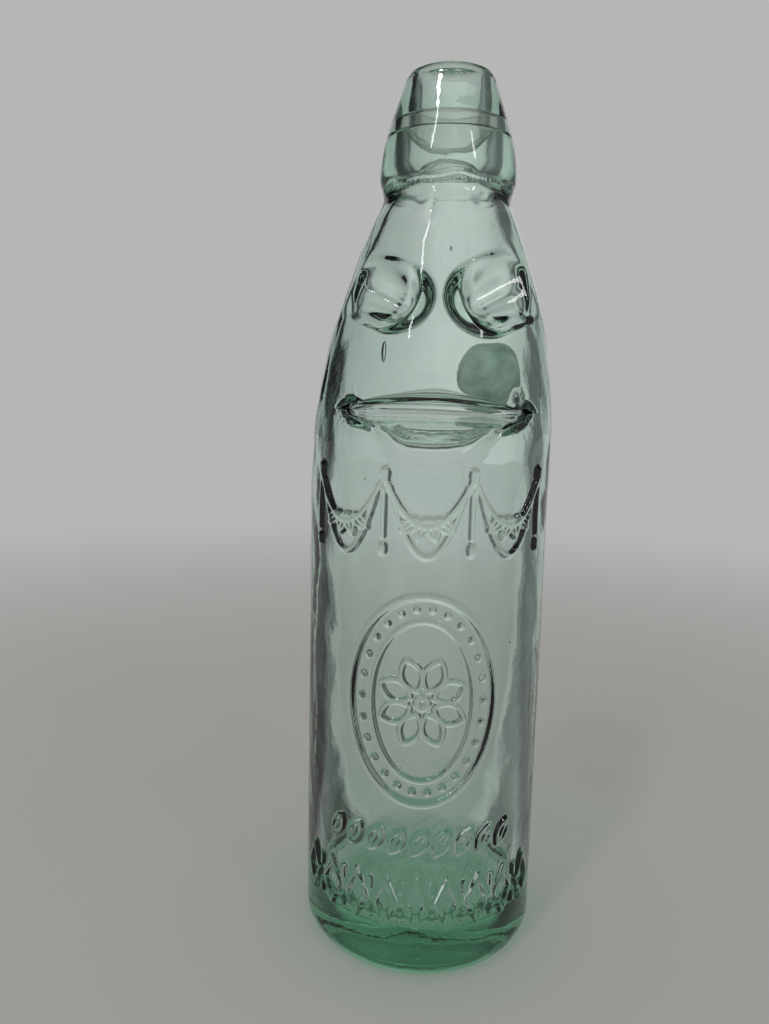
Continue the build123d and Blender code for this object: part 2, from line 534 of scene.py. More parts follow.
def lip_rim():
    """Round the top of the lip, from the outside over the crown and into the bore."""
    side_height, side_radius = NECK_STATIONS[-1][:2]
    return flowing([
        (side_radius, side_height),
        (11.2, 218.3),
        (10.3, 219.35),
        (9.3, LIP_TOP),
        (8.3, 219.35),
        (7.65, 218.2),
        (MOUTH_BORE, BORE_TOP),
    ], ROW_SPACING["rim"])[:-1]


def ring_groove():
    """Down the bore, out into the ring's groove and back, and down the seat below it."""
    roof_start = MOUTH_BORE + MOUTH_EDGE
    back = GROOVE_RADIUS - GROOVE_EDGE
    lip_of_seat = SEAT_BORE + GROOVE_EDGE
    return np.vstack((
        straight((MOUTH_BORE, BORE_TOP), (MOUTH_BORE, GROOVE_HIGH + MOUTH_EDGE), 10),
        arc((roof_start, GROOVE_HIGH + MOUTH_EDGE), MOUTH_EDGE, 180, 270, 4),
        straight((roof_start, GROOVE_HIGH), (back, GROOVE_HIGH), 9),
        arc((back, GROOVE_HIGH - GROOVE_EDGE), GROOVE_EDGE, 90, 0, 3),
        straight((GROOVE_RADIUS, GROOVE_HIGH - GROOVE_EDGE), (GROOVE_RADIUS, GROOVE_LOW + GROOVE_EDGE), 8),
        arc((back, GROOVE_LOW + GROOVE_EDGE), GROOVE_EDGE, 0, -90, 3),
        straight((back, GROOVE_LOW), (lip_of_seat, GROOVE_LOW), 3),
        arc((lip_of_seat, GROOVE_LOW - GROOVE_EDGE), GROOVE_EDGE, 90, 180, 3),
    ))


def plain_rows(rows):
    """Rows that no fold moves."""
    return np.column_stack((rows, np.full(len(rows), np.inf), rows[:, 1]))


def folded_rows(fold, radius):
    """Rows through a fold of the ledge. Their heights on the round wall are spread evenly on both sides."""
    nose = int(np.argmin(fold[:, 0]))
    heights = np.interp(np.arange(len(fold)), (0, nose, len(fold) - 1), fold[(0, nose, -1), 1])
    return np.column_stack((radius(heights), heights, fold))[:-1]


def outside_rows():
    """From the middle of the foot up the outside and over the crown of the lip."""
    fold = flowing(OUTER_FOLD, ROW_SPACING["outer fold"])
    dish_edge = (DISH_RADIUS - DISH_EDGE_WIDTH, DISH_EDGE_HEIGHT)
    heel = BODY_RADIUS - HEEL_RADIUS
    seam_start, seam_end = LIP_SEAM_ROWS
    lip_end = NECK_STATIONS[-1][0]
    return [
        plain_rows(straight((INNERMOST_RADIUS, DISH_DEPTH), dish_edge, 22)),
        plain_rows(straight(dish_edge, (DISH_RADIUS, 0.0), 2)),
        plain_rows(straight((DISH_RADIUS, 0.0), (heel, 0.0), 6)),
        plain_rows(arc((heel, HEEL_RADIUS), HEEL_RADIUS, -90, 0, 22)),
        plain_rows(straight((BODY_RADIUS, HEEL_RADIUS), (BODY_RADIUS, HEEL_ROWS_END), 12)),
        plain_rows(wall_rows(HEEL_ROWS_END, fold[0, 1], outside_radius, ROW_SPACING["body"])),
        folded_rows(fold, outside_radius),
        plain_rows(wall_rows(fold[-1, 1], seam_start, outside_radius, ROW_SPACING["shoulder"])),
        plain_rows(wall_rows(seam_start, seam_end, outside_radius, ROW_SPACING["lip seam"])),
        plain_rows(wall_rows(seam_end, lip_end, outside_radius, ROW_SPACING["lip"])),
        plain_rows(lip_rim()),
    ]


def inside_rows():
    """From the bore of the mouth down the inside to the middle of the floor."""
    fold = flowing(INNER_FOLD, ROW_SPACING["inner fold"])
    radius = BODY_RADIUS - WALL
    corner = radius - FLOOR_CORNER
    corner_top = FLOOR_HEIGHT + FLOOR_CORNER
    return [
        plain_rows(ring_groove()),
        plain_rows(wall_rows(GROOVE_LOW - GROOVE_EDGE, NECK_END, inside_radius, ROW_SPACING["inner lip"])),
        plain_rows(wall_rows(NECK_END, fold[0, 1], inside_radius, ROW_SPACING["inner neck"])),
        folded_rows(fold, inside_radius),
        plain_rows(wall_rows(fold[-1, 1], SHOULDER_START, inside_radius, ROW_SPACING["inner body"])),
        plain_rows(straight((radius, SHOULDER_START), (radius, corner_top), 55)),
        plain_rows(arc((corner, corner_top), FLOOR_CORNER, 0, -90, 24)),
        plain_rows(straight((corner, FLOOR_HEIGHT), (INNERMOST_RADIUS, FLOOR_HEIGHT), 26)),
    ]


def skin_rows():
    """Every row of the glass from the middle of the foot, up the outside, over the lip and down to the floor.

    Each row has a radius, a height, and the depth and height that the ledge's fold takes it to.
    """
    rows = np.vstack(outside_rows() + inside_rows())
    crown = int(np.argmax(rows[:, 1]))
    return rows, crown


def column_angles():
    """Angles round the bottle from the front, closer together there. Positive angles are on the right."""
    even = np.linspace(-math.pi, math.pi, COLUMNS, endpoint=False)
    return even - FRONT_DENSITY * np.sin(even)


def fold_ledge(angle, rows, is_inside):
    """Height of the skin where the wall is pinched in. The ledge sags a little towards its ends."""
    end = LEDGE_END_INSIDE if is_inside else LEDGE_END_OUTSIDE
    fade_start, fade_end = LEDGE_GRIP_FADE
    across = BODY_RADIUS * np.sin(angle)
    grip = 1.0 - smooth_step(np.abs(across - LEDGE_MIDDLE), end + fade_start, end + fade_end)
    straight_up, pinched = rows[:, 1:2], rows[:, 3:4]
    off_ledge = np.clip(np.abs(pinched - LEDGE_SAG_HEIGHT) / LEDGE_SAG_REACH, 0.0, 1.0)
    share = np.where(np.isfinite(rows[:, 2:3]), off_ledge, 1.0)
    sag = LEDGE_SAG * np.minimum(np.abs(across - LEDGE_HIGH_POINT), LEDGE_SAG_LENGTH) ** 2 * (1.0 - share**2)
    return straight_up + grip * (pinched - straight_up - sag)


def pinch_wall(rows, folds, is_inside, x, y):
    """Depth of the skin where the wall is pinched in, from the front and the back alike."""
    pinched = rows[:, 3:4]
    end = np.where(is_inside, LEDGE_END_INSIDE, LEDGE_END_OUTSIDE)
    off_middle = np.abs(x - LEDGE_MIDDLE)
    spill = np.logaddexp(0.0, (off_middle - end) / LEDGE_SPILL_ROUND) * LEDGE_SPILL_ROUND
    allowed = np.where(folds, rows[:, 2:3], UNPINCHED) + LEDGE_SPILL * spill
    nose = np.where(is_inside, INNER_NOSE, OUTER_NOSE)
    closing = LEDGE_CLOSING * smooth_step(off_middle, *LEDGE_CLOSING_SPAN)
    allowed = allowed + np.where(pinched < NOSE_HEIGHT, closing * (allowed - nose), 0.0)
    near_lower_edge = smooth_step(pinched, *LOWER_EDGE_START) * (1.0 - smooth_step(pinched, *LOWER_EDGE_END))
    softness = LEDGE_EDGE + np.where(is_inside, 0.0, LOWER_EDGE * near_lower_edge)
    clipped = soft_min(np.abs(y - LEDGE_SHIFT), allowed, softness)
    return np.where(folds, LEDGE_SHIFT + np.sign(y - LEDGE_SHIFT) * clipped, y)


# The ears. Each was pushed in with a blunt round finger: a deep dimple with a round steep end towards the
# middle, which runs out up and sideways. A crease stands in its floor where the tool was drawn away.
# Angle and height of the round end's middle, the finger's radius across and the way it lies
EARS = [
    {"side": -1, "angle": 28.0, "height": 165.6, "radius": 8.5, "rise": 24.0, "crease": 0.5},
    {"side": 1, "angle": 27.2, "height": 165.8, "radius": 9.3, "rise": 27.0, "crease": -0.6},
]
EAR_HEIGHTS = (148.0, 189.0)
EAR_WIDEST_ANGLE = 1.9
EAR_RISE = 0.4
EAR_DEPTH = 6.6
EAR_TILT = 11.0
EAR_LENGTH = 24.0
EAR_FLANK = 1.6
EAR_SPREAD = 0.45
EAR_SPREAD_START = (-1.0, 9.0)
EAR_FLOOR = 0.25
EAR_RIM = 0.8
EAR_FLOOR_ROUND = 0.8
CREASE_HEIGHT = 0.9
CREASE_WIDTH = 0.75
CREASE_START = (-2.0, 1.0)
CREASE_END = (7.0, 12.0)
NECK_SLOPE = math.radians(17.5)

# The boss that each ear raises on the inside
LUG_DEPTH = 5.4
LUG_SWELL = 0.6
LUG_UP = 0.3
LUG_FLANK = (0.45, 1.0)
LUG_FADE = (3.0, 16.0)


def ear_directions(ear):
    """The middle of an ear's round end on the skin, and the directions along, across and out of it."""
    turn = math.radians(ear["angle"]) * ear["side"]
    rise = math.radians(ear["rise"])
    front = np.array((math.sin(turn), -math.cos(turn), 0.0))
    around = np.array((math.cos(turn), math.sin(turn), 0.0)) * ear["side"]
    upright = np.array((0.0, 0.0, 1.0))
    uphill = upright * math.cos(NECK_SLOPE) - front * math.sin(NECK_SLOPE)
    outward = front * math.cos(NECK_SLOPE) + upright * math.sin(NECK_SLOPE)
    along = around * math.cos(rise) + uphill * math.sin(rise)
    across = uphill * math.cos(rise) - around * math.sin(rise)
    middle = front * outside_radius(ear["height"]) + (lean(ear["height"]), 0.0, ear["height"])
    return middle, along, across, outward


def push_ear(points, ear, is_inside):
    """Moves the skin back to the finger's surface wherever the finger is deeper than the skin."""
    middle, along, across, outward = ear_directions(ear)
    from_middle = points - middle
    a = from_middle @ along
    c = from_middle @ across
    skin = from_middle @ outward
    spread = 1.0 - EAR_SPREAD * smooth_step(a, *EAR_SPREAD_START) * (c < 0.0)
    share = np.hypot(c * spread, np.minimum(a, 0.0)) / ear["radius"]
    slope = EAR_DEPTH * (share - 1.0) / (1.0 - EAR_FLOOR)
    bowl = -soft_min(-slope, np.full(share.shape, EAR_DEPTH), EAR_FLOOR_ROUND)
    crease = CREASE_HEIGHT * hill((c - ear["crease"]) / CREASE_WIDTH) * smooth_step(a, *CREASE_START)
    crease = crease * (1.0 - smooth_step(a, *CREASE_END))
    run_out = EAR_RISE + np.maximum(a, 0.0) * math.tan(math.radians(EAR_TILT))
    finger = run_out + bowl - crease
    lug_share = np.hypot(c - LUG_UP, np.minimum(a, 0.0)) / (ear["radius"] + LUG_SWELL)
    lug = LUG_DEPTH * (1.0 - smooth_step(lug_share, *LUG_FLANK)) * (1.0 - smooth_step(a, *LUG_FADE))
    near = (share < EAR_FLANK) & (a < EAR_LENGTH)
    pushed = np.where(is_inside, skin - lug, np.where(near, soft_min(skin, finger, EAR_RIM), skin))
    return points + (pushed - skin)[..., None] * outward


# The raised pattern. The mould left soft ridges on the front: a band of lozenges at the foot, a row of
# leaves, a beaded oval with a flower in it, and three hanging swags on the shoulder. All are plain
# traditional ornament. Places and sizes are millimetres across the front and up.
RIDGE_HEIGHT = 0.85
LOZENGE_PITCH = 8.0
LOZENGE_MIDDLE = 21.0
LOZENGE_REACH = 4
LEAF_PITCH = 5.6
LEAF_FOOT = 33.8
LEAF_SLANT = 62.0
LEAF_REACH = 4
OVAL_MIDDLE = (0.0, 72.0)
BEAD_COUNT = 26
PETAL_COUNT = 8
SWAG_POSTS = (-31.0, -10.5, 10.5, 31.0)
SWAG_TOP = 124.5
SWAG_LEAVES = (-6.2, -2.1, 2.1, 6.2)


def oval(middle, half_width, half_height, count=48):
    turns = np.linspace(0.0, 2.0 * math.pi, count + 1)
    return np.column_stack((middle[0] + half_width * np.cos(turns), middle[1] + half_height * np.sin(turns)))


def petal(middle, turn, inner, outer, half_width):
    """A pointed leaf that stands away from the flower's middle."""
    along = np.linspace(0.0, 1.0, 13)
    swell = half_width * np.sin(math.pi * along) ** 0.8
    reach = inner + (outer - inner) * along
    there = np.column_stack((reach, swell))
    outline = np.vstack((there, there[::-1] * (1.0, -1.0)))
    c, s = math.cos(turn), math.sin(turn)
    return outline @ np.array(((c, s), (-s, c))) + middle


def swag(left, right, top, sag):
    along = np.linspace(-1.0, 1.0, 25)
    return np.column_stack(((left + right) / 2 + (right - left) / 2 * along, top - sag * (1.0 - along**2)))


def lozenge(middle, half_width, half_height):
    x, z = middle
    return np.array((
        (x, z - half_height),
        (x + half_width, z),
        (x, z + half_height),
        (x - half_width, z),
        (x, z - half_height),
    ))


def leaf(foot, turn, length, half_width):
    """A leaf's outline and its middle rib, standing at a slant on the given point."""
    outline = petal(np.array(foot), turn, 0.0, length, half_width)
    tip = np.array(foot) + (length * math.cos(turn), length * math.sin(turn))
    return outline, np.array((foot, tip))


def bar(x, start, end):
    """A short upright stroke."""
    return np.array(((x, start), (x, end)))


def lozenge_band():
    """Lozenges side by side, with a bar above and below each gap."""
    for place in range(-LOZENGE_REACH, LOZENGE_REACH + 1):
        x = place * LOZENGE_PITCH
        yield 1.15, 1.0, lozenge((x, LOZENGE_MIDDLE), 2.7, 6.0)
        if place < LOZENGE_REACH:
            gap = x + LOZENGE_PITCH / 2
            yield 1.15, 1.0, bar(gap, 16.2, 18.4)
            yield 1.15, 1.0, bar(gap, 23.6, 25.8)


def leaf_row():
    for place in range(-LEAF_REACH, LEAF_REACH + 1):
        for part in leaf((place * LEAF_PITCH - 1.2, LEAF_FOOT), math.radians(LEAF_SLANT), 6.6, 1.5):
            yield 0.85, 0.9, part


def beaded_oval():
    """Two ovals with beads between them, round a flower."""
    middle = np.array(OVAL_MIDDLE)
    yield 1.2, 1.0, oval(middle, 18.5, 25.5)
    yield 0.9, 0.85, oval(middle, 12.6, 19.6)
    for turn in np.linspace(0.0, 2.0 * math.pi, BEAD_COUNT, endpoint=False):
        bead = middle + (15.5 * math.cos(turn), 22.5 * math.sin(turn))
        yield 1.2, 1.0, np.array((bead, bead + 0.01))
    for turn in np.linspace(0.0, 2.0 * math.pi, PETAL_COUNT, endpoint=False) + math.pi / PETAL_COUNT:
        yield 0.9, 1.0, petal(middle, turn, 3.0, 11.0, 2.5)
    yield 1.3, 1.0, oval(middle, 1.3, 1.3, 16)


def hanging_swags():
    """Double cords with leaves in their bend, hung from posts with a tassel each."""
    for left, right in zip(SWAG_POSTS, SWAG_POSTS[1:]):
        yield 1.1, 1.0, swag(left, right, SWAG_TOP, 11.0)
        yield 0.9, 0.9, swag(left + 1.4, right - 1.4, SWAG_TOP - 2.0, 16.0)
        centre = (left + right) / 2.0
        for reach in SWAG_LEAVES:
            drop = 110.4 + 0.055 * reach**2
            for part in leaf((centre + reach, drop), math.radians(90.0 + 9.0 * reach), 5.0, 1.2):
                yield 0.7, 0.9, part
    for x in SWAG_POSTS:
        yield 1.9, 1.1, bar(x, 125.0, 125.6)
        yield 1.0, 0.95, bar(x, 121.5, 111.0)
        yield 1.5, 1.0, bar(x, 108.6, 107.6)


def pattern_lines():
    """Every ridge as its half width, its share of the full height and the points of its middle line."""
    yield from lozenge_band()
    yield from leaf_row()
    yield from beaded_oval()
    yield from hanging_swags()


def draw_ridge(relief, across, up, half_width, height, points):
    """Adds one ridge to the relief, a soft round bead along its line."""
    low, high = points.min(0) - half_width, points.max(0) + half_width
    near = (across > low[0]) & (across < high[0]) & (up > low[1]) & (up < high[1])
    here = np.column_stack((across[near], up[near]))
    gap = np.full(len(here), np.inf)
    for start, end in zip(points[:-1], points[1:]):
        run = end - start
        share = np.clip((here - start) @ run / max(run @ run, 1e-9), 0.0, 1.0)
        gap = np.minimum(gap, np.linalg.norm(here - start - share[:, None] * run, axis=1))
    bead = 1.0 - smooth_step(gap, 0.3 * half_width, half_width)
    relief[near] = np.maximum(relief[near], RIDGE_HEIGHT * height * bead)


def raised_pattern(angle, height):
    across = BODY_RADIUS * angle * np.ones_like(height)
    relief = np.zeros(across.shape)
    for half_width, share, points in pattern_lines():
        draw_ridge(relief, across, height, half_width, share, points)
    return relief


# Where the lip was laid on: a wavy crease with a few drips of glass under it. Behind, it is smoothed over.
# Each drip has its angle, height, half width, half length and how far it stands out.
LIP_SEAM_HEIGHT = 193.3
LIP_SEAM_DEPTH = 0.35
LIP_SEAM_WIDTH = 0.42
LIP_BEAD_DEPTH = 0.05
LIP_BEAD_SIZE = 2.4
LIP_BEADS_BELOW = 0.7
LIP_BEADS_WIDTH = 0.9
LIP_BACK_FILL = 0.42
LIP_BACK_FILL_HEIGHT = 191.3
LIP_BACK_FILL_WIDTH = 1.3
LIP_FRONT = (-0.3, 0.4)
DRIP_RADIUS = 15.5
LIP_DRIPS = [
    (-21.0, 188.2, 1.1, 1.6, 0.16),
    (-11.0, 185.8, 0.7, 2.8, 0.22),
    (-1.0, 188.6, 1.8, 0.8, 0.16),
    (12.0, 189.0, 1.0, 1.3, 0.2),
    (24.0, 187.6, 1.2, 1.8, 0.18),
    (31.0, 189.3, 1.0, 0.9, 0.2),
]


def lip_seam(angle, height):
    line = LIP_SEAM_HEIGHT + 0.35 * np.sin(5.0 * angle + 0.8) + 0.2 * np.sin(11.0 * angle)
    crease = -LIP_SEAM_DEPTH * hill((height - line) / LIP_SEAM_WIDTH)
    below = hill((height - line + LIP_BEADS_BELOW) / LIP_BEADS_WIDTH)
    beads = LIP_BEAD_DEPTH * waves(angle, height, LIP_BEAD_SIZE, 21) * below
    drips = np.zeros(crease.shape)
    for turn, up, wide, long, high in LIP_DRIPS:
        across = DRIP_RADIUS * (angle - math.radians(turn))
        drips = drips + high * hill(across / wide, (height - up) / long)
    in_front = smooth_step(np.cos(angle), *LIP_FRONT)
    filled = LIP_BACK_FILL * hill((height - LIP_BACK_FILL_HEIGHT) / LIP_BACK_FILL_WIDTH)
    return (crease + beads + drips) * in_front + filled * (1.0 - in_front)


# The crumpled glass at the ends of the pinch, in front only, and the knob at its right end
CRUMPLE_DEPTH = 0.12
CRUMPLE_SIZE = 2.1
CRUMPLE_ACROSS = 20.0
CRUMPLE_HEIGHT = 139.0
CRUMPLE_WIDTH = 2.6
CRUMPLE_LENGTH = 3.6
KNOB_ANGLE = 40.0
KNOB_HEIGHT = 142.6
KNOB_WIDTH = 1.5
KNOB_LENGTH = 1.6
KNOB_OUT = 0.9


def crumpled_ends(angle, height):
    across = np.abs(BODY_RADIUS * np.sin(angle)) - CRUMPLE_ACROSS
    near = hill(across / CRUMPLE_WIDTH, (height - CRUMPLE_HEIGHT) / CRUMPLE_LENGTH)
    near = near * (np.cos(angle) > 0.0)
    knob_x = BODY_RADIUS * (angle - math.radians(KNOB_ANGLE))
    knob = hill(knob_x / KNOB_WIDTH, (height - KNOB_HEIGHT) / KNOB_LENGTH)
    return CRUMPLE_DEPTH * waves(angle, height, CRUMPLE_SIZE, 31) * near + KNOB_OUT * knob


# Hand-made skins are never quite true: slow hills on both, a flattened front, and the mould's two seams.
# The outside is set in a little, so that its waves and ridges stay within the bottle's size.
SKIN_INSET = 0.21
OUTER_WAVE = 0.04
OUTER_WAVE_SIZE = 11.0
OUTER_WAVE_CALM = 0.6
CALM_HEIGHTS = (176.0, 196.0)
INNER_WAVE = 0.09
INNER_WAVE_SIZE = 24.0
INNER_WAVE_STRETCH = 0.45
INNER_WAVE_GROWTH = (140.0, 160.0)
INNER_WAVE_RADII = (11.8, 16.0)
FRONT_FLATTENING = 0.75
FLATTENING_END = (126.0, 134.0)
ABOVE_HEEL = (4.0, 10.0)
MOULD_SEAM_HEIGHT = 0.12
MOULD_SEAM_WIDTH = 0.45
MOULD_SEAM_TOP = 188.0
STEEP_ENOUGH = 0.6
FOOT_CORE = 5.0


def skin_push(angle, height, radius, is_inside):
    """How far each point of the skin stands in or out of its true form."""
    calm = 1.0 - OUTER_WAVE_CALM * smooth_step(height, *CALM_HEIGHTS)
    outer_push = OUTER_WAVE * waves(angle, height, OUTER_WAVE_SIZE, 3) * calm - SKIN_INSET
    growth = 1.0 + smooth_step(height, *INNER_WAVE_GROWTH)
    inner_push = INNER_WAVE * waves(angle, INNER_WAVE_STRETCH * height, INNER_WAVE_SIZE, 5) * growth
    front = np.clip(np.cos(angle), 0.0, 1.0) ** 2
    up_the_side = smooth_step(height, *ABOVE_HEEL)
    under_ledge = 1.0 - smooth_step(height, *FLATTENING_END)
    outer_push = outer_push - FRONT_FLATTENING * front * under_ledge * up_the_side
    off_seam = (np.abs(angle) - math.pi / 2) * BODY_RADIUS
    seam = MOULD_SEAM_HEIGHT * hill(off_seam / MOULD_SEAM_WIDTH) * (height < MOULD_SEAM_TOP)
    relief = raised_pattern(angle, height) + seam * up_the_side + lip_seam(angle, height)
    relief = relief + crumpled_ends(angle, height)
    return np.where(is_inside, inner_push * smooth_step(radius, *INNER_WAVE_RADII), outer_push + relief)


def wall_mask(rows, folds):
    """Which rows stand up enough to be pushed: not the foot, the floor or the flats of the groove."""
    climb = np.abs(np.gradient(rows[:, 1]))
    length = np.hypot(np.gradient(rows[:, 0]), np.gradient(rows[:, 1]))
    return (climb > STEEP_ENOUGH * length)[:, None] | folds


def glass_points():
    """The whole skin of the glass in millimetres, as rows of points."""
    rows, crown = skin_rows()
    angle = column_angles()[None, :]
    is_inside = (np.arange(len(rows)) > crown)[:, None]
    folds = np.isfinite(rows[:, 2])[:, None]

    height = np.where(is_inside, fold_ledge(angle, rows, True), fold_ledge(angle, rows, False))
    round_wall = np.where(is_inside, inside_radius(height), outside_radius(height))
    radius = np.where(folds, round_wall, rows[:, 0:1])
    pushed = wall_mask(rows, folds) & (radius > FOOT_CORE)
    radius = radius + np.where(pushed, skin_push(angle, height, radius, is_inside), 0.0)

    x = radius * np.sin(angle)
    y = pinch_wall(rows, folds, is_inside, x, -radius * np.cos(angle))
    points = np.stack((x + lean(height), y, height * np.ones_like(x)), axis=-1)
    lowest, highest = EAR_HEIGHTS
    reached = (height > lowest) & (height < highest) & (np.abs(angle) < EAR_WIDEST_ANGLE)
    for ear in EARS:
        points = np.where(reached[..., None], push_ear(points, ear, is_inside), points)
    return points


def skin_faces(row_count, first, last):
    """Quads between the rows, and a fan that closes each end."""
    columns = np.arange(COLUMNS)
    beside = (columns + 1) % COLUMNS
    quads = []
    for row in range(row_count - 1):
        low, high = row * COLUMNS, (row + 1) * COLUMNS
        quads.append(np.column_stack((low + columns, low + beside, high + beside, high + columns)))
    faces = np.vstack(quads).tolist()
    top = (row_count - 1) * COLUMNS
    faces += [(first, int(b), int(a)) for a, b in zip(columns, beside)]
    faces += [(last, int(top + a), int(top + b)) for a, b in zip(columns, beside)]
    return faces


# Seeds: air bubbles caught in the wall, drawn out along it. The large one has its angle, height, depth under
# the skin, length and width. The small ones are strewn by chance within these limits.
LARGE_SEED = (-26.5, 152.4, 1.9, 4.9, 1.25)
SMALL_SEED_COUNT = 34
SEED_WIDTHS = (0.25, 0.6)
SEED_STRETCH = (1.0, 2.6)
SEED_HEIGHTS = (14.0, 212.0)
SEED_DEPTHS = (1.2, 2.8)
SEED_RINGS = 9
SEED_SIDES = 12


def seed_list():
    chance = np.random.default_rng(11)
    seeds = [LARGE_SEED]
    for _ in range(SMALL_SEED_COUNT):
        width = chance.uniform(*SEED_WIDTHS)
        length = width * chance.uniform(*SEED_STRETCH)
        angle = chance.uniform(-180.0, 180.0)
        height = chance.uniform(*SEED_HEIGHTS)
        depth = chance.uniform(*SEED_DEPTHS)
        seeds.append((angle, height, depth, length, width))
    return seeds


def seed_shape(angle, height, depth, length, width, offset):
    """One bubble's points and faces. Its faces look inwards, because the air is inside."""
    turn = math.radians(angle)
    reach = outside_radius(height) - depth
    middle = np.array((reach * math.sin(turn) + lean(height), -reach * math.cos(turn), height))
    points, faces = [], []
    for ring in range(1, SEED_RINGS):
        tilt = math.pi * ring / SEED_RINGS
        for side in range(SEED_SIDES):
            spin = 2.0 * math.pi * side / SEED_SIDES
            points.append(middle + (
                width / 2 * math.sin(tilt) * math.cos(spin),
                width / 2 * math.sin(tilt) * math.sin(spin),
                length / 2 * math.cos(tilt),
            ))
    points += [middle + (0.0, 0.0, length / 2), middle - (0.0, 0.0, length / 2)]
    top, bottom = offset + len(points) - 2, offset + len(points) - 1
    last = offset + (SEED_RINGS - 2) * SEED_SIDES
    for side in range(SEED_SIDES):
        beside = (side + 1) % SEED_SIDES
        faces.append((top, offset + beside, offset + side))
        faces.append((bottom, last + side, last + beside))
        for ring in range(SEED_RINGS - 2):
            low = offset + ring * SEED_SIDES
            high = low + SEED_SIDES
            faces.append((low + side, low + beside, high + beside, high + side))
    return points, faces


# The glass: clear on its face and green by depth, with a soft ripple and a foot scuffed by standing
GLASS_FACE = (0.985, 1.0, 0.992)
GLASS_IOR = 1.52
GLASS_TINT = (0.35, 0.765, 0.585)
GLASS_DENSITY = 46.0
GLASS_SHADOW = (0.86, 0.93, 0.90)
SCUFFED_FOOT = 0.004
SCUFF_ROUGHNESS = 0.35


def cloud_node(tree, place, scale, detail):
    """Soft noise in space."""
    made = node(tree, "ShaderNodeTexNoise", noise_dimensions="3D")
    made.inputs["Scale"].default_value = scale
    made.inputs["Detail"].default_value = detail
    tree.links.new(place, made.inputs["Vector"])
    return made.outputs["Fac"]


def bump_node(tree, height, strength, distance):
    """Small hills and hollows that only turn the light."""
    made = node(tree, "ShaderNodeBump")
    made.inputs["Strength"].default_value = strength
    made.inputs["Distance"].default_value = distance
    tree.links.new(height, made.inputs["Height"])
    return made.outputs["Normal"]


def blown_glass():
    """Clear glass with a little iron in it: nearly colourless when thin and deep green along a wall."""
    finish, tree = new_finish("aqua_bottle_glass")
    place, parts = place_parts(tree, "Object")
    ripple = cloud_node(tree, place, 260.0, 3.0)
    scuff = cloud_node(tree, place, 1400.0, 4.0)
    low_down = ramp_node(tree, parts["Z"], 0.0, SCUFFED_FOOT, 1.0, 0.0)
    spots = math_node(tree, "MULTIPLY", ramp_node(tree, scuff, 0.5, 0.7), SCUFF_ROUGHNESS)

    glass = node(tree, "ShaderNodeBsdfPrincipled")
    glass.inputs["Base Color"].default_value = (*GLASS_FACE, 1.0)
    glass.inputs["Transmission Weight"].default_value = 1.0
    glass.inputs["IOR"].default_value = GLASS_IOR
    tree.links.new(math_node(tree, "MULTIPLY", low_down, spots), glass.inputs["Roughness"])
    tree.links.new(bump_node(tree, ripple, 0.35, 0.00012), glass.inputs["Normal"])

    path = node(tree, "ShaderNodeLightPath")
    clear = colour_node(tree, "ShaderNodeBsdfTransparent", GLASS_SHADOW)
    lets_through = math_node(tree, "MAXIMUM", path.outputs["Is Shadow Ray"], path.outputs["Is Diffuse Ray"])
    output = output_node(tree, mix_node(tree, lets_through, glass, clear))
    depth = colour_node(tree, "ShaderNodeVolumeAbsorption", GLASS_TINT)
    depth.inputs["Density"].default_value = GLASS_DENSITY
    tree.links.new(depth.outputs[0], output.inputs["Volume"])
    return finish


def add_piece(mesh, finish):
    """Puts a mesh into the scene as a smooth piece of the same name."""
    mesh.polygons.foreach_set("use_smooth", np.ones(len(mesh.polygons), dtype=bool))
    mesh.materials.append(finish)
    mesh.update()
    piece = bpy.data.objects.new(mesh.name, mesh)
    bpy.context.scene.collection.objects.link(piece)
    return piece


def blown_bottle():
    grid = glass_points()
    points = grid.reshape(-1, 3)
    first, last = len(points), len(points) + 1
    points = np.vstack((points, (0.0, 0.0, DISH_DEPTH), (0.0, 0.0, FLOOR_HEIGHT)))
    faces = skin_faces(len(grid), first, last)
    for seed in seed_list():
        seed_points, seed_faces = seed_shape(*seed, len(points))
        points = np.vstack((points, seed_points))
        faces += seed_faces
    mesh = bpy.data.meshes.new("blown_bottle")
    mesh.from_pydata((points * MM).tolist(), [], faces)
    return add_piece(mesh, blown_glass())


bottle = blown_bottle()
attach(bottle, "bottle")
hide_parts("glass_body", "applied_lip")


# The sealing ring. It is a band of gum rubber pressed into the groove of the lip, pale with age,
# a little see-through and marked where the marble has beaten against it.
RING_CORNER = 0.55
RING_BACK_CORNER = 0.2
RING_INNER = 7.62
RING_GAP = 0.04
RING_SIDES = 144
RUBBER_DARK = (0.90, 0.89, 0.87)
RUBBER_PALE = (0.98, 0.98, 0.96)
RUBBER_CLARITY = 0.93
RUBBER_IOR = 1.42


def ring_outline():
    """Half-section of the ring with round corners, as radius and height."""
    inner, outer = RING_INNER, GROOVE_RADIUS - RING_GAP
    low, high = GROOVE_LOW + RING_GAP, GROOVE_HIGH - RING_GAP
    front, back = RING_CORNER, RING_BACK_CORNER
    return np.vstack((
        arc((inner + front, low + front), front, 180, 270, 7),
        straight((inner + front, low), (outer - back, low), 6),
        arc((outer - back, low + back), back, -90, 0, 4),
        straight((outer, low + back), (outer, high - back), 6),
        arc((outer - back, high - back), back, 0, 90, 4),
        straight((outer - back, high), (inner + front, high), 6),
        arc((inner + front, high - front), front, 90, 180, 7),
        straight((inner, high - front), (inner, low + front), 6),
    ))


def tone_node(tree, value, low, dark, high, pale):
    """A colour between two tones, picked by a value."""
    made = node(tree, "ShaderNodeValToRGB")
    for element, position, colour in zip(made.color_ramp.elements, (low, high), (dark, pale)):
        element.position = position
        element.color = (*colour, 1.0)
    tree.links.new(value, made.inputs["Fac"])
    return made.outputs["Color"]


